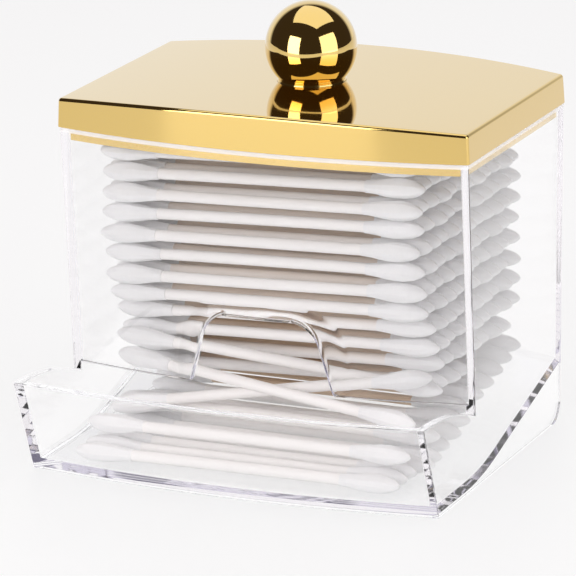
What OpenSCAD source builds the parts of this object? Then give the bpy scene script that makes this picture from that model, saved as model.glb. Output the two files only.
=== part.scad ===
// Cotton swab holder: a clear moulded box with a dispensing tray, a plated
// gold lid with a ball knob, and the cotton swabs that it holds.
// +X runs along the swabs, +Y away from the tray, +Z up. The origin is at the
// middle of the footprint, on the table.

/* [Box] */
// Width of the box, along the swabs
body_w = 96; // [88:1:120]
// Depth of the box at its side panels, at the rim
body_d = 56; // [48:1:70]
// Height of the rim that the lid sits on
rim_z = 72.5; // [60:0.5:90]
// How far the front and back walls bow out at the middle
bow = 5.4; // [3:0.2:8]
// Wall thickness
wall = 2; // [1.6:0.1:3]
// How far the front and back walls lean in by the time they reach the table
lean = 3.5; // [0.5:0.1:5]
// Height of the front wall's lower edge, above the way into the tray
front_bottom_z = 18.5; // [17:0.5:21]
// Radius of the side panels' lower back corner
heel_r = 4; // [2:0.5:8]

/* [Tray and floor] */
// How far the tray's lip reaches in front of the rim
tray_reach = 26; // [22:1:34]
// How far the tray's foot reaches in front of the rim
tray_foot = 18.2; // [14:0.2:20]
// How far the tray's front bows out at the middle
tray_bow = 4; // [2:0.2:6]
// Height of the lip
lip_z = 21.8; // [19:0.2:26]
// Height at which the tray's sides leave the box
tray_side_z = 16.4; // [14:0.2:17]
// Height of the tray's floor
floor_z = 2.8; // [2.6:0.1:4]
// Thickness of the floor
floor_t = 2.2; // [1.6:0.1:2.5]
// Slope of the floor under the stack, in degrees
slope_deg = 15; // [10:1:18]
// Where the slope begins, behind the rim's front edge
slope_start = 6.5; // [4:0.5:9]
// Radius that blends the slope into the tray's floor
slope_blend_r = 64; // [30:2:80]

/* [Finger notch] */
// Width of the notch near its top
notch_w = 28; // [24:1:34]
// Height of the notch above the front wall's lower edge
notch_h = 16; // [12:1:22]
// Radius of the notch's top corners
notch_r = 7; // [4:0.5:9]
// How far each side of the notch flares, in degrees
notch_flare = 15; // [5:1:20]

/* [Lid] */
// Height of the lid's skirt
lid_h = 6.5; // [5:0.5:10]
// How far the lid's top rises from its ends to its middle
crown = 1.6; // [0.8:0.1:3]
// How far the skirt stands out past the box
lid_over = 0.4; // [0.2:0.1:0.8]
// How far the skirt draws in towards its top edge
lid_draft = 0.3; // [0.1:0.1:0.5]
// Radius of the lid's top edge
lid_edge_r = 0.8; // [0.5:0.1:1.2]
// Thickness of the lid's plate
plate_t = 2; // [1.6:0.1:3]
// Thickness of the lid's locating lip
lip_t = 1.2; // [1:0.1:1.6]
// How far the locating lip reaches into the box
lip_drop = 3; // [2:0.2:4]
// Clearance between the locating lip and the box
lip_gap = 0.35; // [0.25:0.05:0.5]

/* [Knob and screw] */
// Radius of the ball
knob_r = 10.1; // [8:0.1:12]
// Height of the ball's centre above its flange
knob_seat = 7; // [5.6:0.1:7.6]
// Thickness of the flange under the ball
flange_t = 0.4; // [0.4:0.1:1]
// How far the flange stands out past the ball's foot
flange_over = 0.4; // [0.3:0.1:0.8]
// Radius of the screw's shank
shank_r = 1.5; // [1.2:0.1:1.8]
// Radius of the screw's head
head_r = 2.8; // [2.6:0.1:3.4]
// Height of the screw's head
head_h = 1.8; // [1.4:0.1:2.2]
// How deep the screw reaches into the knob
screw_in = 7; // [5:0.5:9]
// Clearance around the shank in the lid's plate
shank_gap = 0.2; // [0.1:0.05:0.4]

/* [Swabs] */
// Length of a swab
swab_l = 76; // [70:1:80]
// Diameter of the paper stick
stick_d = 2.5; // [1.8:0.1:2.6]
// Largest diameter of a cotton tip
tip_d = 4.5; // [3.8:0.1:4.6]
// Length of a cotton tip
tip_l = 14; // [11:0.5:17]
// Cotton beyond the end of the stick
tip_nose = 2.5; // [1.5:0.5:4]
// Thickness of the cotton's hem on the stick
hem_t = 0.15; // [0.1:0.05:0.3]
// Space between one row of the stack and the next
row_gap = 0.15; // [0.1:0.05:0.8]
// Least space between the swabs in a row
column_gap = 0.25; // [0.2:0.05:1]
// Space between the swabs that lie in the tray
tray_gap = 0.4; // [0.3:0.1:0.6]
// Free height from the top row's middle to the rim
headroom = 4; // [4:0.5:16]
// How much higher the stack lies at its right end
row_rise = 2.4; // [0:0.2:2.6]
// How far a row may turn in plan, in degrees
row_yaw = 0.6; // [0:0.1:0.8]
// How far a swab may stand out of its row lengthwise
end_scatter = 0.5; // [0:0.1:1.4]
// How far the front of the stack lies to the left of its back
stack_skew = 1.8; // [0:0.2:2]

/* [Hidden] */
// Clearance left around each swab
swab_clear = 0.3;
// Clearance between a stick and the cotton wound on it, and between screw and knob
close_fit = 0.02;
// Steps in an arc that is drawn as points
arc_steps = 12;
// Steps in each half of the lid's crown
crown_steps = 8;
// Length that reaches past the whole object
far = 200;
// Facets that OpenSCAD draws in a wall's large arc
arc_fn = 256;
$fn = 48;

// Radius of the arc that rises by "rise" over "chord"
function arc_r(chord, rise) = (chord * chord / 4 + rise * rise) / (2 * rise);
// How far an arc of radius r drops at the distance d from its middle
function arc_drop(r, d) = r - sqrt(r * r - d * d);

bow_r = arc_r(body_w, bow);
lean_deg = atan(lean / rim_z);
tray_lean_deg = atan((tray_reach - tray_foot) / lip_z);
tray_bow_r = arc_r(body_w, tray_bow * cos(tray_lean_deg));
// The rim's front and back edges at the side panels, with the footprint centred
rim_front = (tray_reach + tray_bow - body_d - bow - lid_over) / 2;
rim_back = rim_front + body_d;
lip_y = rim_front - tray_reach;
foot_y = rim_front - tray_foot;
front_bottom_y = rim_front + lean_at(front_bottom_z);
tray_side_y = rim_front + lean_at(tray_side_z);
tray_top_r = arc_r(2 * (tray_side_y - lip_y), lip_z - tray_side_z);
crown_r = arc_r(body_w, crown);
lid_top_z = rim_z + lid_h + crown;
neck_r = sqrt(knob_r * knob_r - knob_seat * knob_seat);
seat_r = neck_r + flange_over;
knob_z = lid_top_z - arc_drop(crown_r, seat_r);
head_top_z = knob_z - plate_t;
tip_r = tip_d / 2;
stick_r = stick_d / 2;
inner_half_w = body_w / 2 - wall;

// How far the front and back walls have leaned in at the height z
function lean_at(z) = lean * (1 - z / rim_z);

// The floor's blend starts at blend_y, and its centre is slope_blend_r above the floor
blend_y = rim_front + slope_start - slope_blend_r * tan(slope_deg / 2);
blend_end_y = blend_y + slope_blend_r * sin(slope_deg);
// Height of the floor's top at y
function floor_at(y) =
    y < blend_y ? floor_z :
    y < blend_end_y ? floor_z + arc_drop(slope_blend_r, y - blend_y) :
    floor_z + arc_drop(slope_blend_r, blend_end_y - blend_y) + (y - blend_end_y) * tan(slope_deg);
// Slope of the floor at y, in degrees
function slope_at(y) = y < blend_y ? 0 : y < blend_end_y ? asin((y - blend_y) / slope_blend_r) : slope_deg;
// The floor's line from front to back, "down" below its top
function floor_line(down) = concat(
    [[-far, floor_z - down]],
    [for (i = [0 : arc_steps]) let (a = slope_deg * i / arc_steps, r = slope_blend_r + down)
        [blend_y + r * sin(a), floor_z + slope_blend_r - r * cos(a)]],
    [let (r = slope_blend_r + down)
        [blend_y + r * sin(slope_deg) + far * cos(slope_deg),
         floor_z + slope_blend_r - r * cos(slope_deg) + far * sin(slope_deg)]]
);

// Extrudes a drawing of the side view (y, z) across the width w
module across(w) {
    rotate([90, 0, 90]) translate([0, 0, -w / 2]) linear_extrude(w) children();
}

// Everything behind the bowed front wall's surface, "inset" inside it
module behind_front(inset) {
    translate([0, rim_front, rim_z]) rotate([lean_deg, 0, 0])
        translate([0, bow_r - bow, -far]) cylinder(r = bow_r - inset, h = 2 * far, $fn = arc_fn);
}

// Everything in front of the bowed back wall's surface, "inset" inside it
module before_back(inset) {
    translate([0, rim_back, rim_z]) rotate([-lean_deg, 0, 0])
        translate([0, bow - bow_r, -far]) cylinder(r = bow_r - inset, h = 2 * far, $fn = arc_fn);
}

// Everything behind the tray's leaning front, "inset" inside it
module behind_tray_front(inset) {
    translate([0, foot_y, 0]) rotate([tray_lean_deg, 0, 0])
        translate([0, tray_bow_r - tray_bow * cos(tray_lean_deg), -far])
            cylinder(r = tray_bow_r - inset, h = 2 * far, $fn = arc_fn);
}

// A slab between two heights and two depths, as wide as the box less the inset
module slab(inset, y0, y1, z0, z1) {
    translate([inset - body_w / 2, y0, z0]) cube([body_w - 2 * inset, y1 - y0, z1 - z0]);
}

// The space inside the box's outer surface, or "inset" inside it
module box_space(inset, top) {
    intersection() {
        behind_front(inset);
        before_back(inset);
        slab(inset, -far, far, 0, top);
    }
}

// The tray's outside, under the falling line of its sides
module tray_outside() {
    intersection() {
        behind_tray_front(0);
        slab(0, -far, tray_side_y + wall, 0, lip_z + wall);
        translate([-far, lip_y, lip_z - tray_top_r]) rotate([0, 90, 0])
            cylinder(r = tray_top_r, h = 2 * far, $fn = arc_fn);
    }
}

// The tray's inside, and the way under the front wall into the box
module tray_inside() {
    difference() {
        intersection() {
            behind_tray_front(wall);
            slab(wall, -far, front_bottom_y + 3 * wall, 0, rim_z);
        }
        intersection() {
            behind_front(0);
            slab(0, -far, far, front_bottom_z, 2 * rim_z);
        }
    }
}

// The side view above the floor's top
module above_floor() {
    across(body_w + 2 * wall) polygon(concat(floor_line(0), [[far, far], [-far, far]]));
}

// The side view below the floor's underside, between the side panels
module below_floor() {
    across(2 * inner_half_w) polygon(concat(floor_line(floor_t), [[far, -far], [-far, -far]]));
}

// The notch's outline: an arch whose sides flare towards its foot
module notch_outline() {
    corner = [notch_w / 2 - notch_r, front_bottom_z + notch_h - notch_r];
    arc = [for (i = [0 : arc_steps]) let (a = notch_flare + (90 - notch_flare) * i / arc_steps)
        corner + notch_r * [cos(a), sin(a)]];
    foot_z = front_bottom_z - wall;
    foot_x = arc[0].x + (arc[0].y - foot_z) * tan(notch_flare);
    half = concat([[foot_x, foot_z]], arc);
    polygon(concat(half, [for (i = [len(half) - 1 : -1 : 0]) [-half[i].x, half[i].y]]));
}

// The side view that rounds the heel off both side panels
module heel_outline() {
    corner_y = rim_back - lean;
    reach = heel_r / tan((90 + lean_deg) / 2);
    arc = [for (i = [0 : arc_steps]) let (a = -90 + (90 - lean_deg) * i / arc_steps)
        [corner_y - reach + heel_r * cos(a), heel_r + heel_r * sin(a)]];
    polygon(concat([[-far, 0]], arc, [[far, arc[arc_steps].y], [far, far], [-far, far]]));
}

// The clear box with its tray, sloping floor and finger notch, in one piece
module clear_body() {
    color([0.86, 0.85, 0.89, 0.35]) difference() {
        union() {
            intersection() {
                box_space(0, rim_z);
                across(body_w + 2 * wall) heel_outline();
            }
            tray_outside();
        }
        intersection() {
            union() {
                box_space(wall, 2 * rim_z);
                tray_inside();
            }
            above_floor();
        }
        intersection() {
            below_floor();
            behind_tray_front(wall);
        }
        translate([0, front_bottom_y + 2 * wall, 0]) rotate([90, 0, 0])
            linear_extrude(bow + 4 * wall) notch_outline();
    }
}

// The rim's plan, grown by "grow"
module rim_plan(grow) {
    intersection() {
        translate([0, rim_front - bow + bow_r]) circle(r = bow_r + grow, $fn = arc_fn);
        translate([0, rim_back + bow - bow_r]) circle(r = bow_r + grow, $fn = arc_fn);
        square([body_w + 2 * grow, far], center = true);
    }
}

// Distances from the middle at which the crown's height is set: flat under the knob's foot
top_grow = lid_over - lid_draft - lid_edge_r;
crown_x = [for (i = [0 : crown_steps]) seat_r + (body_w / 2 + top_grow - seat_r) * i / crown_steps];
function crown_z(x) = lid_top_z - arc_drop(crown_r, x);

// Everything under the lid's ceiling, which follows the crown
module under_ceiling() {
    half = [for (x = crown_x) [x, crown_z(x) - plate_t]];
    translate([0, far, 0]) rotate([90, 0, 0]) linear_extrude(2 * far) polygon(concat(
        [[-far, 0], [far, 0], [far, half[crown_steps].y]],
        [for (i = [crown_steps : -1 : 0]) half[i]],
        [for (i = [0 : crown_steps]) [-half[i].x, half[i].y]],
        [[-far, half[crown_steps].y]]
    ));
}

// The lid's outside: rounded corners follow the crown and the bowed edges
module lid_outside() {
    hull() {
        translate([0, 0, rim_z]) linear_extrude(lid_edge_r) rim_plan(lid_over);
        for (side = [-1, 1], end = [-1, 1], x = crown_x)
            let (half_y = body_d / 2 + bow - arc_drop(bow_r, x) + top_grow)
                translate([side * x, (rim_front + rim_back) / 2 + end * half_y, crown_z(x) - lid_edge_r])
                    sphere(r = lid_edge_r, $fn = 16);
    }
}

// The plated lid: crowned plate, skirt and the lip that locates it in the box
module lid() {
    lip_grow = -wall - lip_gap;
    color([0.86, 0.72, 0.4]) difference() {
        union() {
            lid_outside();
            translate([0, 0, rim_z - lip_drop]) linear_extrude(lip_drop + wall) rim_plan(lip_grow);
        }
        intersection() {
            translate([0, 0, rim_z - lip_drop - wall]) linear_extrude(far) rim_plan(lip_grow - lip_t);
            under_ceiling();
        }
        translate([0, (rim_front + rim_back) / 2, rim_z]) cylinder(r = shank_r + shank_gap, h = far);
    }
}

// The ball knob on its thin round-edged flange, with a blind hole for the screw
module knob() {
    color([0.8, 0.62, 0.28]) translate([0, (rim_front + rim_back) / 2, knob_z]) difference() {
        rotate_extrude($fn = 96) {
            intersection() {
                translate([0, flange_t + knob_seat]) circle(r = knob_r);
                square([far, far]);
            }
            translate([seat_r - flange_t / 2, flange_t / 2]) circle(r = flange_t / 2);
            square([seat_r - flange_t / 2, flange_t]);
        }
        translate([0, 0, -wall]) cylinder(r = shank_r + close_fit, h = screw_in + wall + close_fit);
    }
}

// The screw that holds the knob from below
module knob_screw() {
    color([0.7, 0.7, 0.72]) translate([0, (rim_front + rim_back) / 2, 0]) {
        translate([0, 0, head_top_z - head_h]) cylinder(r = head_r, h = head_h);
        translate([0, 0, head_top_z - head_h / 2])
            cylinder(r = shank_r, h = knob_z + screw_in - head_top_z + head_h / 2);
    }
}

// How a swab lies is [x, y, z, yaw, tilt]: its middle, its turn in plan and its rise
module lay(swab) {
    translate([swab[0], swab[1], swab[2]]) rotate([0, -swab[4], swab[3]]) children();
}

// A paper stick, along X
module stick() {
    color([0.97, 0.95, 0.92]) translate([tip_nose - swab_l / 2, 0, 0]) rotate([0, 90, 0])
        cylinder(r = stick_r, h = swab_l - 2 * tip_nose, $fn = 24);
}

// Radius of the cotton at the distance s from its point: a bud that narrows to the stick
bud_l = 0.42 * tip_l;
hem_r = stick_r + hem_t;
bud_taper = 2.2;
bud_bluntness = 0.62;
function cotton_r(s) =
    s < bud_l ? tip_r * pow(1 - pow(1 - s / bud_l, bud_taper), bud_bluntness) :
    hem_r + (tip_r - hem_r) * (1 + cos(180 * (s - bud_l) / (tip_l - bud_l))) / 2;
cotton_steps = 9;

// The cotton on one end of a stick, with the bore that the stick fills
bore_r = stick_r + close_fit;
module cotton() {
    color([0.99, 0.99, 0.99]) rotate([0, 90, 0]) translate([0, 0, -swab_l / 2])
        rotate_extrude($fn = 24) polygon(concat(
            [for (i = [0 : cotton_steps]) let (s = tip_l * i / cotton_steps) [cotton_r(s), s]],
            [[bore_r, tip_l], [bore_r, tip_nose - close_fit], [0, tip_nose - close_fit]]
        ));
}

module cotton_pair() {
    cotton();
    rotate([0, 0, 180]) cotton();
}

module sticks(swabs) { for (swab = swabs) lay(swab) stick(); }
module tips(swabs) { for (swab = swabs) lay(swab) cotton_pair(); }

// The stack: rows from the top down, each with as many swabs as the depth takes
row_pitch = tip_d + row_gap;
column_pitch = tip_d + column_gap;
tilt = asin(row_rise / swab_l);
top_row_z = rim_z - headroom;
lowest_row_z = front_bottom_z + tip_r - row_rise / 2 - swab_clear;
row_count = floor((top_row_z - lowest_row_z) / row_pitch) + 1;
half_l = swab_l / 2;
end_bow = bow - arc_drop(bow_r, half_l);
function row_z(i) = top_row_z - i * row_pitch;
function yaw_of(i) = row_yaw * sin(137 * i + 20);
function end_margin(i) = tip_r + swab_clear + half_l * sin(abs(yaw_of(i)));
function low_lean(i) = lean_at(row_z(i) - tip_r - row_rise / 2);
// A row that reaches up past the lid's locating lip stays inside it
function lid_inset(i) =
    row_z(i) + row_rise / 2 + tip_r + swab_clear > rim_z - lip_drop ? lip_gap + lip_t : 0;
function inset(i) = wall + lid_inset(i) + end_margin(i);
function first_y(i) = rim_front + low_lean(i) - end_bow + inset(i) + (i % 2) * column_pitch / 4;
function last_y(i) = rim_back - low_lean(i) + end_bow - inset(i);
function column_count(i) = floor((last_y(i) - first_y(i)) / column_pitch) + 1;
function column_y(i, j) = first_y(i) + j * (last_y(i) - first_y(i)) / (column_count(i) - 1);
// How far a swab stands out of its row lengthwise, without a regular pattern
function scatter(i, j) = end_scatter * sin(71 * i + 113 * j + 40 * sin(i * j * 57));
function row_x(i, j) = scatter(i, j) - stack_skew * (1 - j / (column_count(i) - 1));
// Height of a swab's middle when it lies on the floor at y
function on_floor(y) = floor_at(y) + (tip_r + swab_clear / 3) / cos(slope_at(y));
// From one swab to the next when they lie on each other
layer = tip_d + swab_clear / 6;
// Rows stop above the swabs that lie on the slope
function is_clear(i, y) = row_z(i) - row_rise / 2 - on_floor(y) > layer / cos(slope_deg);
// Where the two swabs that slid down to the right have their left and right ends
slid_left_z = front_bottom_z + stick_d;
slid_right_z = front_bottom_z + swab_clear;
// The first two swabs of a row are left out where those two came from and lie
function is_left(i, j) =
    j == 0 ? row_z(i) - row_rise / 2 > slid_left_z + 2 * layer :
    j > 1 || row_z(i) + row_rise / 2 > slid_right_z + layer;
function row_swabs(i) = [
    for (j = [0 : column_count(i) - 1])
        let (y = column_y(i, j))
            if (is_left(i, j) && is_clear(i, y)) [row_x(i, j), y, row_z(i), yaw_of(i), tilt]
];

// The swabs on the slope, and the short row that fills in above them
tray_pitch = tip_d + tray_gap;
tray_end_bow = tray_bow - arc_drop(tray_bow_r, half_l) / cos(tray_lean_deg);
tray_first_y = foot_y - tray_end_bow + wall + tip_r + 2 * swab_clear;
tray_count = 5;
fill_first = 2;
fill_last = 6;
slope_first = tray_first_y + tray_count * tray_pitch + swab_clear;
slope_last = rim_back - lean_at(front_bottom_z) + end_bow - wall - tip_r - 2 * swab_clear;
slope_count = floor((slope_last - slope_first) / (column_pitch * cos(slope_deg))) + 1;
slope_step = (slope_last - slope_first) / (slope_count - 1);
slope_swabs = concat(
    [for (k = [0 : slope_count - 1]) let (y = slope_first + k * slope_step)
        [scatter(k, 3), y, on_floor(y), 0, 0]],
    [for (j = [fill_first : fill_last]) let (i = row_count, y = column_y(i, j))
        if (is_clear(i, y)) [row_x(i, j), y, row_z(i), yaw_of(i), tilt]]
);

// The swabs in the tray: one layer fans out on its floor, and two lie on that layer
fan_yaw = 1.2;
fan_step = 0.5;
function tray_y(k) = tray_first_y + k * tray_pitch;
upper_z = on_floor(tray_y(tray_count - 1)) + layer;
function tray_swab(k, layer_no, y, z) = [scatter(k, 5 + layer_no), y, z, fan_yaw - fan_step * k, 0];
tray_swabs = concat(
    [for (k = [0 : tray_count - 1]) tray_swab(k, 0, tray_y(k), on_floor(tray_y(k)))],
    [for (k = [1, tray_count - 1]) tray_swab(k, 1, tray_y(k) + swab_clear, upper_z)]
);

// How a swab lies whose left end is at a and whose right end is at b
function from_to(a, b) = let (d = b - a, m = (a + b) / 2)
    [m.x, m.y, m.z, atan2(d.y, d.x), asin(d.z / norm(d))];

// Two swabs that have slid down to the right behind the notch, and one that rises behind them
slip_y = first_y(row_count - 1);
rolled_y = front_bottom_y - bow;
under_wall_z = front_bottom_z - tip_r - 3 * swab_clear;
loose_swabs = [
    from_to([-half_l, slip_y, slid_left_z], [half_l, rolled_y - stick_d, under_wall_z]),
    from_to([-half_l, slip_y, slid_left_z + layer], [half_l, slip_y + tip_d, slid_right_z]),
    from_to([-half_l, tray_y(tray_count - 2), upper_z], [half_l, slip_y, slid_right_z + layer])
];

function names(base) = [for (i = [0 : row_count - 1]) str(base, i + 1)];

clear_body();
lid();
knob();
knob_screw();
for (i = [0 : row_count - 1]) {
    sticks(row_swabs(i));
    tips(row_swabs(i));
}
sticks(slope_swabs);  // slope_sticks
tips(slope_swabs);  // slope_tips
sticks(tray_swabs);  // tray_sticks
tips(tray_swabs);  // tray_tips
sticks(loose_swabs);  // loose_sticks
tips(loose_swabs);  // loose_tips
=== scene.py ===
# Cotton swab holder: a clear moulded box of cotton swabs with a dispensing tray,
# under a gold plated lid with a ball knob. Metres, +X along the swabs, +Z up.
import math

import bmesh
import bpy
from mathutils import Matrix, Vector, noise


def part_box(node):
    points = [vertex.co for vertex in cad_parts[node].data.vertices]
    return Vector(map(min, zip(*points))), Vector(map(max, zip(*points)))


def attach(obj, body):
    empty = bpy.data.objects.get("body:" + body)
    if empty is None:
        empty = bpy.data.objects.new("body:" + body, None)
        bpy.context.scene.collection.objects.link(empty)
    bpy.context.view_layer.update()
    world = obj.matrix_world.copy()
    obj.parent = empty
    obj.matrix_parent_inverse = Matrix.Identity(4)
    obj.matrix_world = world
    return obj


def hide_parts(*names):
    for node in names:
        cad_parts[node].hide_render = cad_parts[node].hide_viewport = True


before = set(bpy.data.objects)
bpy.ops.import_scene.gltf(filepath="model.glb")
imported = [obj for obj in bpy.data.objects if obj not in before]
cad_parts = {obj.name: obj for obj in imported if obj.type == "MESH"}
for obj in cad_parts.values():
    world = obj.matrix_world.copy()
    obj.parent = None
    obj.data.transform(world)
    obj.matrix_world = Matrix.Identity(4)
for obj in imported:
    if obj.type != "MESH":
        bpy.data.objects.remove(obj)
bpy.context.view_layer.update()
scene = bpy.context.scene
mm = 0.001


# The clear box
# One injection moulding in clear polystyrene: side panels, bowed walls, sloping
# floor and tray. Its edges are broken by a hair, as the mould leaves them.
edge_break = 0.16 * mm
rim_round = 0.8 * mm
corner_round = 0.45 * mm
corner_least = 30 * mm
notch_round = 0.75 * mm
stack_middle = 12 * mm
sharp_edge = math.radians(28)
flat_enough = math.radians(0.4)
wall_wave = 0.12 * mm
wave_scale = 26
wave_strength = 0.4
styrene_ior = 1.5
styrene_haze = 0.03
styrene_tint = (0.87, 0.82, 0.88, 1)
styrene_depth = 6.5
notch_half = 15.5 * mm
notch_foot = 16.4 * mm
notch_rise = 16 * mm
notch_roundness = 4
swell_reach = 3.4
swell_height = 1.1 * mm
eddy_scale = 150
eddy_least = 0.4
notch_spare = 2 * mm
rim_band = 1.0 * mm
rim_clearness = 0.35
front_wall = (-24 * mm, -10 * mm)


def merged_copy(node):
    """The mesh of a CAD node as one closed skin, with its flat faces whole."""
    skin = bmesh.new()
    skin.from_mesh(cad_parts[node].data)
    bmesh.ops.remove_doubles(skin, verts=skin.verts, dist=0.002 * mm)
    bmesh.ops.dissolve_limit(skin, angle_limit=flat_enough, verts=skin.verts, edges=skin.edges)
    return skin


def shown(name, skin, material, body, node):
    """Makes a finished mesh the piece that stands for a CAD node."""
    mesh = bpy.data.meshes.new(name)
    skin.to_mesh(mesh)
    skin.free()
    mesh.polygons.foreach_set("use_smooth", [True] * len(mesh.polygons))
    mesh.set_sharp_from_angle(angle=sharp_edge)
    mesh.materials.append(material)
    piece = bpy.data.objects.new(name, mesh)
    scene.collection.objects.link(piece)
    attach(piece, body)
    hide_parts(node)
    even = piece.modifiers.new("even_normals", "WEIGHTED_NORMAL")
    even.weight = 100
    even.keep_sharp = True


def new_finish(name):
    """A node material, with its Principled shader, node maker and link maker."""
    material = bpy.data.materials.new(name)
    material.use_nodes = True
    tree = material.node_tree
    return material, tree.nodes["Principled BSDF"], tree.nodes.new, tree.links.new


def clear_styrene():
    """Clear plastic that lets lamps shine through, wavy where it flowed around the notch."""
    material, plastic, node, link = new_finish("clear_styrene")

    def math_of(operation, *values):
        step = node("ShaderNodeMath")
        step.operation = operation
        for slot, value in zip(step.inputs, values):
            if isinstance(value, (int, float)):
                slot.default_value = value
            else:
                link(value, slot)
        return step.outputs["Value"]

    plastic.inputs["Base Color"].default_value = (1, 1, 1, 1)
    plastic.inputs["IOR"].default_value = styrene_ior
    place = node("ShaderNodeTexCoord")
    flow = node("ShaderNodeTexNoise")
    flow.inputs["Scale"].default_value = wave_scale
    flow.inputs["Detail"].default_value = 1
    link(place.outputs["Object"], flow.inputs["Vector"])
    polish = node("ShaderNodeMapRange")
    polish.inputs["To Max"].default_value = styrene_haze
    link(flow.outputs["Fac"], polish.inputs["Value"])
    link(polish.outputs["Result"], plastic.inputs["Roughness"])
    wave = node("ShaderNodeBump")
    wave.inputs["Strength"].default_value = wave_strength
    wave.inputs["Distance"].default_value = wall_wave
    link(flow.outputs["Fac"], wave.inputs["Height"])
    at = node("ShaderNodeSeparateXYZ")
    link(place.outputs["Object"], at.inputs["Vector"])
    across = math_of("DIVIDE", at.outputs["X"], notch_half)
    across = math_of("POWER", math_of("ABSOLUTE", across), notch_roundness)
    up = math_of("DIVIDE", math_of("SUBTRACT", at.outputs["Z"], notch_foot), notch_rise)
    up = math_of("POWER", math_of("ABSOLUTE", up), notch_roundness)
    around = node("ShaderNodeMapRange")
    around.interpolation_type = "SMOOTHERSTEP"
    around.inputs["From Min"].default_value = swell_reach
    around.inputs["From Max"].default_value = 1
    link(math_of("ADD", across, up), around.inputs["Value"])
    half_depth = (front_wall[1] - front_wall[0]) / 2
    in_front = math_of("COMPARE", at.outputs["Y"], sum(front_wall) / 2, half_depth)
    band = node("ShaderNodeMapRange")
    band.inputs["From Min"].default_value = box_high.z - rim_band - edge_break
    band.inputs["From Max"].default_value = box_high.z - rim_band
    band.inputs["To Min"].default_value = 1
    band.inputs["To Max"].default_value = rim_clearness
    link(at.outputs["Z"], band.inputs["Value"])
    link(band.outputs["Result"], plastic.inputs["Transmission Weight"])
    eddy = node("ShaderNodeTexNoise")
    eddy.inputs["Scale"].default_value = eddy_scale
    eddy.inputs["Detail"].default_value = 0
    link(place.outputs["Object"], eddy.inputs["Vector"])
    swell = node("ShaderNodeBump")
    swell.inputs["Strength"].default_value = 1
    swell.inputs["Distance"].default_value = swell_height
    link(math_of("MULTIPLY", math_of("MULTIPLY", around.outputs["Result"], in_front),
                 math_of("ADD", eddy.outputs["Fac"], eddy_least)), swell.inputs["Height"])
    link(wave.outputs["Normal"], swell.inputs["Normal"])
    link(swell.outputs["Normal"], plastic.inputs["Normal"])
    path = node("ShaderNodeLightPath")
    open_way = node("ShaderNodeBsdfTransparent")
    mix = node("ShaderNodeMixShader")
    link(path.outputs["Is Shadow Ray"], mix.inputs["Fac"])
    link(plastic.outputs["BSDF"], mix.inputs[1])
    link(open_way.outputs["BSDF"], mix.inputs[2])
    depth = node("ShaderNodeVolumeAbsorption")
    depth.inputs["Color"].default_value = styrene_tint
    depth.inputs["Density"].default_value = styrene_depth
    output = material.node_tree.nodes["Material Output"]
    link(mix.outputs["Shader"], output.inputs["Surface"])
    link(depth.outputs["Volume"], output.inputs["Volume"])
    return material


def rounded(skin, edges, radius):
    """Rounds edges of a skin, keeping its outer size."""
    bmesh.ops.bevel(skin, geom=edges, offset=radius, affect="EDGES", segments=4,
                    profile=0.5, material=-1, clamp_overlap=False)


def on_rim_inside(edge):
    """Whether an edge of the box lies on the inner side of its rim."""
    middle = (edge.verts[0].co + edge.verts[1].co) / 2
    inwards = Vector((-middle.x, stack_middle - middle.y, 0))
    walls = [face for face in edge.link_faces if abs(face.normal.z) < 0.5]
    return middle.z > box_high.z - edge_break and len(walls) == 1 and walls[0].normal.dot(inwards) > 0


def on_outer_corner(edge):
    """Whether an edge of the box is a tall outer corner, where a wall meets a side panel."""
    return (edge.is_convex and min(abs(v.co.x) for v in edge.verts) > box_high.x - edge_break
            and abs(edge.verts[0].co.z - edge.verts[1].co.z) > corner_least)


def on_notch(edge):
    """Whether an edge of the box runs around the finger notch."""
    middle = (edge.verts[0].co + edge.verts[1].co) / 2
    return (edge.calc_face_angle(0) > sharp_edge and abs(middle.x) < notch_half + notch_spare
            and front_wall[0] < middle.y < front_wall[1]
            and notch_foot + mm < middle.z < notch_foot + notch_rise + notch_spare)


box_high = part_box("clear_body")[1]
box_skin = merged_copy("clear_body")
rounded(box_skin, [e for e in box_skin.edges if on_notch(e)], notch_round)
rounded(box_skin, [e for e in box_skin.edges if on_rim_inside(e)], rim_round)
rounded(box_skin, [e for e in box_skin.edges if on_outer_corner(e)], corner_round)
box_edges = [e for e in box_skin.edges if e.calc_face_angle(0) > sharp_edge]
bmesh.ops.bevel(box_skin, geom=box_edges, offset=edge_break, affect="EDGES", segments=2,
                profile=0.5, material=-1, clamp_overlap=False)
shown("clear_box", box_skin, clear_styrene(), "holder", "clear_body")


# The paper sticks
# Each stick is a strip of white paper rolled tight and glued, so it bends a little
# along its length and shows a faint fibre and the spiral of its edge.
stick_sides = 14
stick_cuts = 7
stick_bend = 0.22 * mm
# The tan is painted shade: the paper darkens towards the middle of the stack, less so lower down and
# not at all on the top row.
paper_painted_shade = (0.72, 0.53, 0.37, 1)
paper_white = (0.965, 0.94, 0.93, 1)
fleck_share = 0.12
white_from = 21.5 * mm
painted_shade_full_within = 16.5 * mm
step_back_z = 36 * mm
step_back = 0.5
top_row_z = 66 * mm
fibre_scale = (140, 1400, 1400)
roll_scale = 60
roll_waver = 1.5
roll_share = 0.35
grain_strength = 0.35
grain_height = 0.04 * mm
paper_gloss = 0.62


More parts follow.
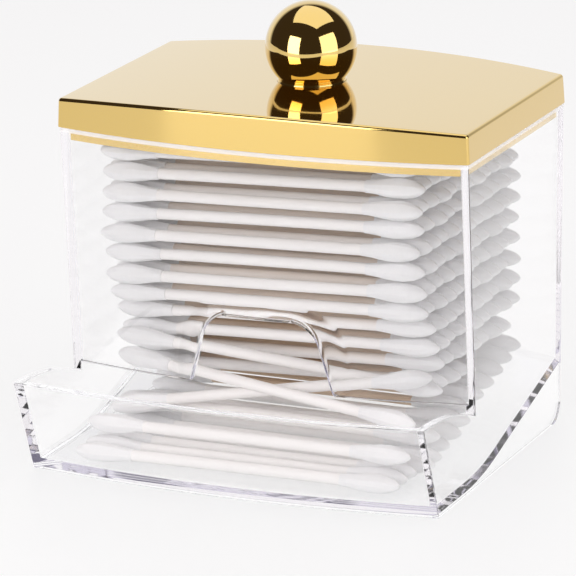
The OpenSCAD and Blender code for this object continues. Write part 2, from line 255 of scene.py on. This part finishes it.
def rolled_paper():
    """Paper with a fine fibre and the edge of its roll, white outside the stack, with painted shade in
    tan within it.
    """
    material, paper, node, link = new_finish("rolled_paper")
    place = node("ShaderNodeTexCoord")
    stretch = node("ShaderNodeMapping")
    stretch.inputs["Scale"].default_value = fibre_scale
    fibre = node("ShaderNodeTexNoise")
    fibre.inputs["Scale"].default_value = 1
    link(place.outputs["Object"], stretch.inputs["Vector"])
    link(stretch.outputs["Vector"], fibre.inputs["Vector"])
    colour = node("ShaderNodeMix")
    colour.data_type = "RGBA"
    colour.inputs["A"].default_value = paper_painted_shade
    colour.inputs["B"].default_value = paper_white
    side = node("ShaderNodeSeparateXYZ")
    link(place.outputs["Object"], side.inputs["Vector"])
    from_middle = node("ShaderNodeMath")
    from_middle.operation = "SUBTRACT"
    from_middle.inputs[1].default_value = stack_middle
    link(side.outputs["Y"], from_middle.inputs[0])
    outwards = node("ShaderNodeMath")
    outwards.operation = "ABSOLUTE"
    link(from_middle.outputs["Value"], outwards.inputs[0])
    below = node("ShaderNodeMapRange")
    below.inputs["From Min"].default_value = step_back_z
    below.inputs["From Max"].default_value = 0
    below.inputs["To Max"].default_value = step_back * step_back_z
    link(side.outputs["Z"], below.inputs["Value"])
    reach = node("ShaderNodeMath")
    link(outwards.outputs["Value"], reach.inputs[0])
    link(below.outputs["Result"], reach.inputs[1])
    on_top = node("ShaderNodeMapRange")
    on_top.inputs["From Min"].default_value = top_row_z
    on_top.inputs["From Max"].default_value = top_row_z + mm
    on_top.inputs["To Max"].default_value = white_from
    link(side.outputs["Z"], on_top.inputs["Value"])
    shade_free_reach = node("ShaderNodeMath")
    link(reach.outputs["Value"], shade_free_reach.inputs[0])
    link(on_top.outputs["Result"], shade_free_reach.inputs[1])
    # Mask of the painted shade: tan deep in the stack, fading outwards to the paper's own white.
    painted_shade_fade = node("ShaderNodeMapRange")
    painted_shade_fade.inputs["From Min"].default_value = painted_shade_full_within
    painted_shade_fade.inputs["From Max"].default_value = white_from
    link(shade_free_reach.outputs["Value"], painted_shade_fade.inputs["Value"])
    flecked = node("ShaderNodeMath")
    flecked.operation = "MULTIPLY_ADD"
    flecked.inputs[1].default_value = fleck_share
    link(fibre.outputs["Fac"], flecked.inputs[0])
    link(painted_shade_fade.outputs["Result"], flecked.inputs[2])
    link(flecked.outputs["Value"], colour.inputs["Factor"])
    link(colour.outputs["Result"], paper.inputs["Base Color"])
    roll = node("ShaderNodeTexWave")
    roll.bands_direction = "DIAGONAL"
    roll.inputs["Scale"].default_value = roll_scale
    roll.inputs["Distortion"].default_value = roll_waver
    link(place.outputs["Object"], roll.inputs["Vector"])
    relief = node("ShaderNodeMix")
    relief.inputs["Factor"].default_value = roll_share
    link(fibre.outputs["Fac"], relief.inputs["A"])
    link(roll.outputs["Fac"], relief.inputs["B"])
    grain = node("ShaderNodeBump")
    grain.inputs["Strength"].default_value = grain_strength
    grain.inputs["Distance"].default_value = grain_height
    link(relief.outputs["Result"], grain.inputs["Height"])
    link(grain.outputs["Normal"], paper.inputs["Normal"])
    paper.inputs["Roughness"].default_value = paper_gloss
    return material


def stick_ends(node):
    """The middle of each stick's left and right end, from the sticks of a CAD node."""
    skin = merged_copy(node)
    loose = set(skin.verts)
    ends = []
    while loose:
        reached = [loose.pop()]
        stick = []
        while reached:
            corner = reached.pop()
            stick.append(corner.co.copy())
            for near in [edge.other_vert(corner) for edge in corner.link_edges]:
                if near in loose:
                    loose.remove(near)
                    reached.append(near)
        middle = sum(stick, Vector()) / len(stick)
        left = [c for c in stick if c.x < middle.x]
        right = [c for c in stick if c.x >= middle.x]
        ends.append((sum(left, Vector()) / len(left), sum(right, Vector()) / len(right)))
    skin.free()
    return sorted(ends, key=lambda pair: (pair[0].y, pair[0].z))


def laid(left, right):
    """The placement of a swab, drawn along X about its middle, from its left end to its right."""
    turn = (right - left).to_track_quat("X", "Z")
    return Matrix.Translation((left + right) / 2) @ turn.to_matrix().to_4x4()


def chance(place, seed):
    """A number from -1 to 1 that follows from where a swab lies."""
    return max(-1.0, min(1.0, 2 * noise.noise(place * 311 + Vector((seed, 0, 0)))))


def add_stick(skin, left, right, radius):
    """One stick, bent by a fraction of a millimetre."""
    half = (right - left).length / 2
    start = len(skin.verts)
    bmesh.ops.create_cone(skin, cap_ends=True, segments=stick_sides, radius1=radius, radius2=radius,
                          depth=2 * half, matrix=Matrix.Rotation(math.pi / 2, 4, "Y"))
    skin.verts.ensure_lookup_table()
    long_edges = {e for v in skin.verts[start:] for e in v.link_edges if e.calc_length() > half}
    bmesh.ops.subdivide_edges(skin, edges=list(long_edges), cuts=stick_cuts)
    skin.verts.ensure_lookup_table()
    stick = skin.verts[start:]
    bend_y = stick_bend * chance(left, 1)
    bend_z = stick_bend * chance(left, 2)
    for corner in stick:
        bulge = 1 - (corner.co.x / half) ** 2
        corner.co += Vector((0, bend_y * bulge, bend_z * bulge))
    bmesh.ops.transform(skin, matrix=laid(left, right), verts=stick)


groups = [f"row_{i}" for i in range(1, 12)] + ["slope", "tray", "loose"]
groups_in_cad = {g: (f"stick_{g}", f"tip_{g}") if g.startswith("row") else (f"{g}_sticks", f"{g}_tips")
                 for g in groups}
swab_ends = {g: stick_ends(groups_in_cad[g][0]) for g in groups}
stick_r = 1.25 * mm
paper = rolled_paper()
for group in groups:
    stick_skin = bmesh.new()
    for left, right in swab_ends[group]:
        add_stick(stick_skin, left, right, stick_r)
    shown(f"{group}_paper_sticks", stick_skin, paper, "holder", groups_in_cad[group][0])


# The cotton tips
# Cotton fibre wound on both ends of each stick into a pointed bud, softest at its
# nose and drawn down to a thin hem on the paper.
tip_l = 14 * mm
tip_nose = 2.5 * mm
tip_r = 2.25 * mm
hem_r = stick_r + 0.15 * mm
bud_l = 0.42 * tip_l
bud_taper = 2.2
bud_bluntness = 0.62
tip_sides = 12
tip_rings = 10
cotton_white = (0.94, 0.935, 0.94, 1)
cotton_shade = (0.88, 0.875, 0.89, 1)
strand_scale = (1500, 420, 420)
strand_turn = (0, 0.5, 0.35)
fluff_strength = 0.5
fluff_height = 0.12 * mm
tip_lump = 0.05


def wound_cotton():
    """White cotton fibre, wound around the tip in fine soft strands."""
    material, cotton, node, link = new_finish("wound_cotton")
    place = node("ShaderNodeTexCoord")
    wind = node("ShaderNodeMapping")
    wind.inputs["Scale"].default_value = strand_scale
    wind.inputs["Rotation"].default_value = strand_turn
    strands = node("ShaderNodeTexNoise")
    strands.inputs["Scale"].default_value = 1
    strands.inputs["Detail"].default_value = 5
    strands.inputs["Roughness"].default_value = 0.65
    link(place.outputs["Object"], wind.inputs["Vector"])
    link(wind.outputs["Vector"], strands.inputs["Vector"])
    colour = node("ShaderNodeMix")
    colour.data_type = "RGBA"
    colour.inputs["A"].default_value = cotton_shade
    colour.inputs["B"].default_value = cotton_white
    link(strands.outputs["Fac"], colour.inputs["Factor"])
    link(colour.outputs["Result"], cotton.inputs["Base Color"])
    fluff = node("ShaderNodeBump")
    fluff.inputs["Strength"].default_value = fluff_strength
    fluff.inputs["Distance"].default_value = fluff_height
    link(strands.outputs["Fac"], fluff.inputs["Height"])
    link(fluff.outputs["Normal"], cotton.inputs["Normal"])
    cotton.inputs["Roughness"].default_value = 0.9
    cotton.inputs["Sheen Weight"].default_value = 0.25
    cotton.inputs["Sheen Roughness"].default_value = 0.6
    return material


def bud_radius(run):
    """Radius of the cotton at the distance run from its nose."""
    if run < bud_l:
        return tip_r * (1 - (1 - run / bud_l) ** bud_taper) ** bud_bluntness
    fall = math.cos(math.pi * (run - bud_l) / (tip_l - bud_l))
    return hem_r + (tip_r - hem_r) * (1 + fall) / 2


def add_tip(skin, nose, stick_way, seed):
    """One wound tip, from its nose along the stick, a little different from the next."""
    sphere = bmesh.ops.create_uvsphere(skin, u_segments=tip_sides, v_segments=tip_rings, radius=1)
    fullness = 1 - tip_lump * (1 + chance(nose, seed)) / 2
    for corner in sphere["verts"]:
        run = tip_l * (1 + corner.co.z) / 2
        ring = Vector((corner.co.x, corner.co.y, 0))
        if ring.length > 0.01:
            spot = ring.normalized() * 1.3 + nose * 400 + Vector((0, 0, run * 260))
            lump = 1 + tip_lump * noise.noise(spot)
            ring *= bud_radius(run) * fullness * lump / ring.length
        corner.co = ring + Vector((0, 0, run))
    stand = stick_way.to_track_quat("Z", "Y").to_matrix().to_4x4()
    bmesh.ops.transform(skin, matrix=Matrix.Translation(nose) @ stand, verts=sphere["verts"])


cotton = wound_cotton()
for group in groups:
    tip_skin = bmesh.new()
    for left, right in swab_ends[group]:
        way = (right - left).normalized()
        add_tip(tip_skin, left - way * tip_nose, way, 3)
        add_tip(tip_skin, right + way * tip_nose, -way, 4)
    shown(f"{group}_cotton_tips", tip_skin, cotton, "holder", groups_in_cad[group][1])


# The lid
# Moulded in one piece and plated gold under a clear lacquer: a crowned plate whose
# front and back bow out, a skirt that meets the box's rim, and a locating lip.
rim_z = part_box("clear_body")[1].z
lid_low, lid_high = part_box("lid")
lid_middle = (lid_low.y + lid_high.y) / 2
bow = 5.4 * mm
crown = 1.6 * mm
skirt_draft = 0.3 * mm
skirt_out = 0.4 * mm
plate_t = 2 * mm
lip_in = 2.35 * mm
lip_t = 1.2 * mm
side_x = lid_high.x - skirt_out
side_y = lid_high.y - lid_middle - bow - skirt_out
lid_round = 0.7 * mm
foot_break = 0.12 * mm
plate_steps = 48
gold = (0.8, 0.56, 0.17, 1)
lacquer_haze = 0.02
plating_haze = (0.03, 0.07)
haze_scale = 60
ripple_scale = 34
ripple_strength = 0.3
ripple_height = 0.05 * mm


def gold_plating():
    """Mirror gold under lacquer, with the faint ripple of plated plastic."""
    material, plating, node, link = new_finish("gold_plating")
    plating.inputs["Base Color"].default_value = gold
    plating.inputs["Metallic"].default_value = 1
    plating.inputs["Coat Weight"].default_value = 1
    plating.inputs["Coat Roughness"].default_value = lacquer_haze
    place = node("ShaderNodeTexCoord")
    haze = node("ShaderNodeTexNoise")
    haze.inputs["Scale"].default_value = haze_scale
    link(place.outputs["Object"], haze.inputs["Vector"])
    polish = node("ShaderNodeMapRange")
    polish.inputs["To Min"].default_value = plating_haze[0]
    polish.inputs["To Max"].default_value = plating_haze[1]
    link(haze.outputs["Fac"], polish.inputs["Value"])
    link(polish.outputs["Result"], plating.inputs["Roughness"])
    ripple = node("ShaderNodeTexNoise")
    ripple.inputs["Scale"].default_value = ripple_scale
    ripple.inputs["Detail"].default_value = 0
    link(place.outputs["Object"], ripple.inputs["Vector"])
    wave = node("ShaderNodeBump")
    wave.inputs["Strength"].default_value = ripple_strength
    wave.inputs["Distance"].default_value = ripple_height
    link(ripple.outputs["Fac"], wave.inputs["Height"])
    link(wave.outputs["Normal"], plating.inputs["Normal"])
    return material


def fall(x, rise):
    """How far an arc that rises by rise over the lid's width has dropped at x."""
    radius = (side_x ** 2 + rise ** 2) / (2 * rise)
    return radius - math.sqrt(radius ** 2 - x ** 2)


def lid_skin():
    """The lid as loops of one outline: plate, skirt, seat, locating lip and ceiling."""
    plate_z = lid_high.z
    loops = [
        (skirt_out - skirt_draft, lambda x: plate_z - fall(x, crown)),
        (skirt_out, lambda x: rim_z),
        (-lip_in, lambda x: rim_z),
        (-lip_in, lambda x: lid_low.z),
        (-lip_in - lip_t, lambda x: lid_low.z),
        (-lip_in - lip_t, lambda x: plate_z - plate_t - fall(x, crown)),
    ]
    skin = bmesh.new()
    bmesh.ops.create_grid(skin, x_segments=plate_steps, y_segments=8, size=1)
    edge = [e for e in skin.edges if e.is_boundary]
    for _ in loops[1:-1]:
        grown = bmesh.ops.extrude_edge_only(skin, edges=edge)["geom"]
        edge = [g for g in grown if isinstance(g, bmesh.types.BMEdge) and g.is_boundary]
        ring = [g for g in grown if isinstance(g, bmesh.types.BMVert)]
        bmesh.ops.translate(skin, verts=ring, vec=(0, 0, 1))
    ceiling = Matrix.Translation((0, 0, len(loops) - 1))
    bmesh.ops.create_grid(skin, x_segments=plate_steps, y_segments=8, size=1, matrix=ceiling)
    bmesh.ops.bridge_loops(skin, edges=[e for e in skin.edges if e.is_boundary])
    for corner in skin.verts:
        grow, height = loops[round(corner.co.z)]
        x = corner.co.x * (side_x + grow)
        y = corner.co.y * (side_y + grow + bow - fall(x, bow))
        corner.co = (x, lid_middle + y, height(x))
    bmesh.ops.recalc_face_normals(skin, faces=skin.faces)
    outer = [e for e in skin.edges if e.calc_face_angle(0) > sharp_edge
             and max(v.co.z for v in e.verts) > rim_z + crown
             and min(abs(v.co.x) > side_x or abs(v.co.y - lid_middle) > side_y for v in e.verts)]
    bmesh.ops.bevel(skin, geom=outer, offset=lid_round, affect="EDGES", segments=5,
                    profile=0.5, material=-1)
    low = [e for e in skin.edges if e.calc_face_angle(0) > sharp_edge
           and max(v.co.z for v in e.verts) < rim_z + crown]
    bmesh.ops.bevel(skin, geom=low, offset=foot_break, affect="EDGES", segments=2,
                    profile=0.5, material=-1)
    return skin


plated = gold_plating()
shown("gold_lid", lid_skin(), plated, "lid", "lid")


# The ball knob
# A hollow-moulded ball in the same gold, on a thin round-edged flange that seats it
# on the lid's plate. The screw comes up into it from below.
knob_low, knob_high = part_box("knob")
ball_r = (knob_high.x - knob_low.x) / 2
ball_z = knob_high.z - ball_r
flange_t = 0.4 * mm
flange_over = 0.4 * mm
neck_z = knob_low.z + flange_t
flange_r = math.sqrt(ball_r ** 2 - (ball_z - neck_z) ** 2) + flange_over
knob_steps = 128
arc_steps = 48
flange_steps = 8


def knob_skin():
    """The ball and its flange, turned from one profile."""
    low_angle = math.asin((neck_z - ball_z) / ball_r)
    turns = [math.pi / 2 + (low_angle - math.pi / 2) * i / arc_steps for i in range(arc_steps + 1)]
    profile = [(ball_r * math.cos(a), ball_z + ball_r * math.sin(a)) for a in turns]
    turns = [math.pi / 2 * (1 - i / flange_steps) for i in range(flange_steps + 1)]
    profile += [(flange_r + flange_t * (math.cos(a) - 1), neck_z + flange_t * (math.sin(a) - 1))
                for a in turns]
    profile.append((0, knob_low.z))
    skin = bmesh.new()
    line = [skin.verts.new((r, lid_middle, z)) for r, z in profile]
    edges = [skin.edges.new(pair) for pair in zip(line, line[1:])]
    bmesh.ops.spin(skin, geom=line + edges, cent=(0, lid_middle, 0), axis=(0, 0, 1),
                   angle=math.tau, steps=knob_steps, use_merge=True)
    bmesh.ops.remove_doubles(skin, verts=skin.verts, dist=0.001 * mm)
    bmesh.ops.recalc_face_normals(skin, faces=skin.faces)
    return skin


shown("gold_knob", knob_skin(), plated, "lid", "knob")


# The knob's screw
# A plain zinc plated screw, driven from under the plate, with a shallow cross in
# its head.
screw_grey = (0.55, 0.56, 0.58, 1)
mark_scale = 900
mark_waver = 2
zinc_haze = (0.3, 0.5)


def zinc_plating():
    """Dull silver zinc with fine turning marks around the screw's axis."""
    material, zinc, node, link = new_finish("zinc_plating")
    zinc.inputs["Base Color"].default_value = screw_grey
    zinc.inputs["Metallic"].default_value = 1
    place = node("ShaderNodeTexCoord")
    centre = node("ShaderNodeMapping")
    centre.inputs["Location"].default_value = (0, -lid_middle, 0)
    marks = node("ShaderNodeTexWave")
    marks.wave_type = "RINGS"
    marks.rings_direction = "Z"
    marks.inputs["Scale"].default_value = mark_scale
    marks.inputs["Distortion"].default_value = mark_waver
    link(place.outputs["Object"], centre.inputs["Vector"])
    link(centre.outputs["Vector"], marks.inputs["Vector"])
    dull = node("ShaderNodeMapRange")
    dull.inputs["To Min"].default_value = zinc_haze[0]
    dull.inputs["To Max"].default_value = zinc_haze[1]
    link(marks.outputs["Fac"], dull.inputs["Value"])
    link(dull.outputs["Result"], zinc.inputs["Roughness"])
    return material


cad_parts["knob_screw"].data.materials.clear()
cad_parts["knob_screw"].data.materials.append(zinc_plating())


# The table and the light
# A plain white table runs out under the box. One soft lamp hangs over it and two
# stand beside the camera, and the room in front is dim, which the gold shows.
table_front = -0.6
table_back = 2.4
table_half = 1.8
table_white = (0.93, 0.935, 0.945, 1)
shade_share = 0.34
table_glow = 1.0
glow_through = 0.12
table_gloss = 0.35
backdrop_edge = math.cos(math.radians(56))
backdrop_blur = 0.08
clear_edge = math.cos(math.radians(38))
room_brown = (0.045, 0.034, 0.026, 1)
fill_light = (0.44, 0.4, 0.4, 1)
window_lavender = (0.72, 0.7, 0.8, 1)
window_slate = (0.16, 0.15, 0.22, 1)
window_bars = 2.2
bar_dark = 0.15
bar_light = 0.4
view_azimuth = math.radians(24.65)
view_elevation = math.radians(16.66)
view_roll = math.radians(-1.35)
view_target = Vector((-0.8, -1.25, 36.5)) * mm
view_distance = 1000 * mm
view_lens = 285.6
view_turn = (Matrix.Rotation(view_azimuth, 3, "Z")
             @ Matrix.Rotation(math.pi / 2 - view_elevation, 3, "X")
             @ Matrix.Rotation(view_roll, 3, "Z"))
view_way = view_turn @ Vector((0, 0, -1))


def white_table():
    """White laminate that stays white to the eye and keeps the box's soft shadow."""
    material, laminate, node, link = new_finish("white_table")
    laminate.inputs["Base Color"].default_value = table_white
    laminate.inputs["Roughness"].default_value = table_gloss
    glow = node("ShaderNodeEmission")
    path = node("ShaderNodeLightPath")
    brighter = node("ShaderNodeMapRange")
    brighter.inputs["To Min"].default_value = table_glow
    brighter.inputs["To Max"].default_value = table_glow + glow_through
    link(path.outputs["Is Transmission Ray"], brighter.inputs["Value"])
    link(brighter.outputs["Result"], glow.inputs["Strength"])
    seen = node("ShaderNodeMath")
    seen.operation = "MAXIMUM"
    link(path.outputs["Is Camera Ray"], seen.inputs[0])
    link(path.outputs["Is Glossy Ray"], seen.inputs[1])
    also = node("ShaderNodeMath")
    also.operation = "MAXIMUM"
    link(seen.outputs["Value"], also.inputs[0])
    link(path.outputs["Is Transmission Ray"], also.inputs[1])
    share = node("ShaderNodeMath")
    share.operation = "MULTIPLY"
    share.inputs[1].default_value = 1 - shade_share
    link(also.outputs["Value"], share.inputs[0])
    mix = node("ShaderNodeMixShader")
    link(share.outputs["Value"], mix.inputs["Fac"])
    link(laminate.outputs["BSDF"], mix.inputs[1])
    link(glow.outputs["Emission"], mix.inputs[2])
    link(mix.outputs["Shader"], material.node_tree.nodes["Material Output"].inputs["Surface"])
    return material


table_top = bmesh.new()
bmesh.ops.create_grid(table_top, x_segments=1, y_segments=1, size=0.5,
                      matrix=Matrix.Translation((0, (table_front + table_back) / 2, 0))
                      @ Matrix.Diagonal((2 * table_half, table_back - table_front, 1, 1)))
table_mesh = bpy.data.meshes.new("table")
table_top.to_mesh(table_mesh)
table_mesh.materials.append(white_table())
table = bpy.data.objects.new("table", table_mesh)
scene.collection.objects.link(table)


def soft_lamp(name, way, distance, width, height, brightness):
    """A square soft lamp that faces the box, as bright all over as brightness."""
    lamp = bpy.data.lights.new(name, "AREA")
    lamp.shape = "RECTANGLE"
    lamp.size = width
    lamp.size_y = height
    lamp.energy = brightness * math.pi * width * height
    holder = bpy.data.objects.new(name, lamp)
    aim = Vector(way).normalized()
    holder.matrix_world = (Matrix.Translation(aim * distance + Vector((0, 0, rim_z)))
                           @ aim.to_track_quat("Z", "Y").to_matrix().to_4x4())
    holder.visible_camera = False
    holder.visible_transmission = False
    scene.collection.objects.link(holder)


soft_lamp("overhead_lamp", (0.02, 0.14, 0.99), 0.8, 1.0, 0.9, 1.15)
soft_lamp("right_lamp", (0.945, -0.306, 0.2), 0.75, 0.6, 0.7, 1.9)
soft_lamp("left_lamp", (-0.363, -0.93, 0.2), 0.9, 0.5, 0.7, 3.4)

world = bpy.data.worlds.new("studio")
scene.world = world
world.use_nodes = True
node = world.node_tree.nodes.new
link = world.node_tree.links.new
sky = world.node_tree.nodes["Background"]
look = node("ShaderNodeTexCoord")
toward = node("ShaderNodeVectorMath")
toward.operation = "DOT_PRODUCT"
toward.inputs[1].default_value = view_way
link(look.outputs["Generated"], toward.inputs[0])
backdrop = node("ShaderNodeMapRange")
backdrop.inputs["From Min"].default_value = backdrop_edge - backdrop_blur
backdrop.inputs["From Max"].default_value = backdrop_edge + backdrop_blur
link(toward.outputs["Value"], backdrop.inputs["Value"])
clear_view = node("ShaderNodeMapRange")
clear_view.inputs["From Min"].default_value = clear_edge - backdrop_blur
clear_view.inputs["From Max"].default_value = clear_edge + backdrop_blur
link(toward.outputs["Value"], clear_view.inputs["Value"])
ray = node("ShaderNodeLightPath")
bars = node("ShaderNodeTexWave")
bars.bands_direction = "X"
bars.inputs["Scale"].default_value = window_bars
link(look.outputs["Generated"], bars.inputs["Vector"])
bar_width = node("ShaderNodeMapRange")
bar_width.inputs["From Min"].default_value = bar_dark
bar_width.inputs["From Max"].default_value = bar_light
link(bars.outputs["Fac"], bar_width.inputs["Value"])


def blend(factor, low, high):
    """A world colour that goes from low to high with factor, each a socket or a colour."""
    mix = node("ShaderNodeMix")
    mix.data_type = "RGBA"
    link(factor, mix.inputs["Factor"])
    for slot, colour in (("A", low), ("B", high)):
        if isinstance(colour, tuple):
            mix.inputs[slot].default_value = colour
        else:
            link(colour, mix.inputs[slot])
    return mix.outputs["Result"]


white = (1, 1, 1, 1)
mirrored_white = (0.93, 0.93, 0.92, 1)
window = blend(bar_width.outputs["Result"], window_slate, window_lavender)
through_clear = blend(clear_view.outputs["Result"], window, white)
mirrored = blend(backdrop.outputs["Result"], room_brown, mirrored_white)
direct = blend(ray.outputs["Is Transmission Ray"], mirrored, through_clear)
lit = blend(ray.outputs["Diffuse Depth"], direct, fill_light)
link(blend(ray.outputs["Is Camera Ray"], lit, white), sky.inputs["Color"])

camera_data = bpy.data.cameras.new("camera")
camera_data.lens = view_lens
camera = bpy.data.objects.new("camera", camera_data)
camera.matrix_world = (Matrix.Translation(view_target - view_way * view_distance)
                       @ view_turn.to_4x4())
scene.collection.objects.link(camera)
scene.camera = camera
scene.view_settings.view_transform = "Standard"
scene.cycles.transparent_max_bounces = 32
scene.cycles.transmission_bounces = 24
scene.cycles.glossy_bounces = 24
scene.cycles.max_bounces = 32
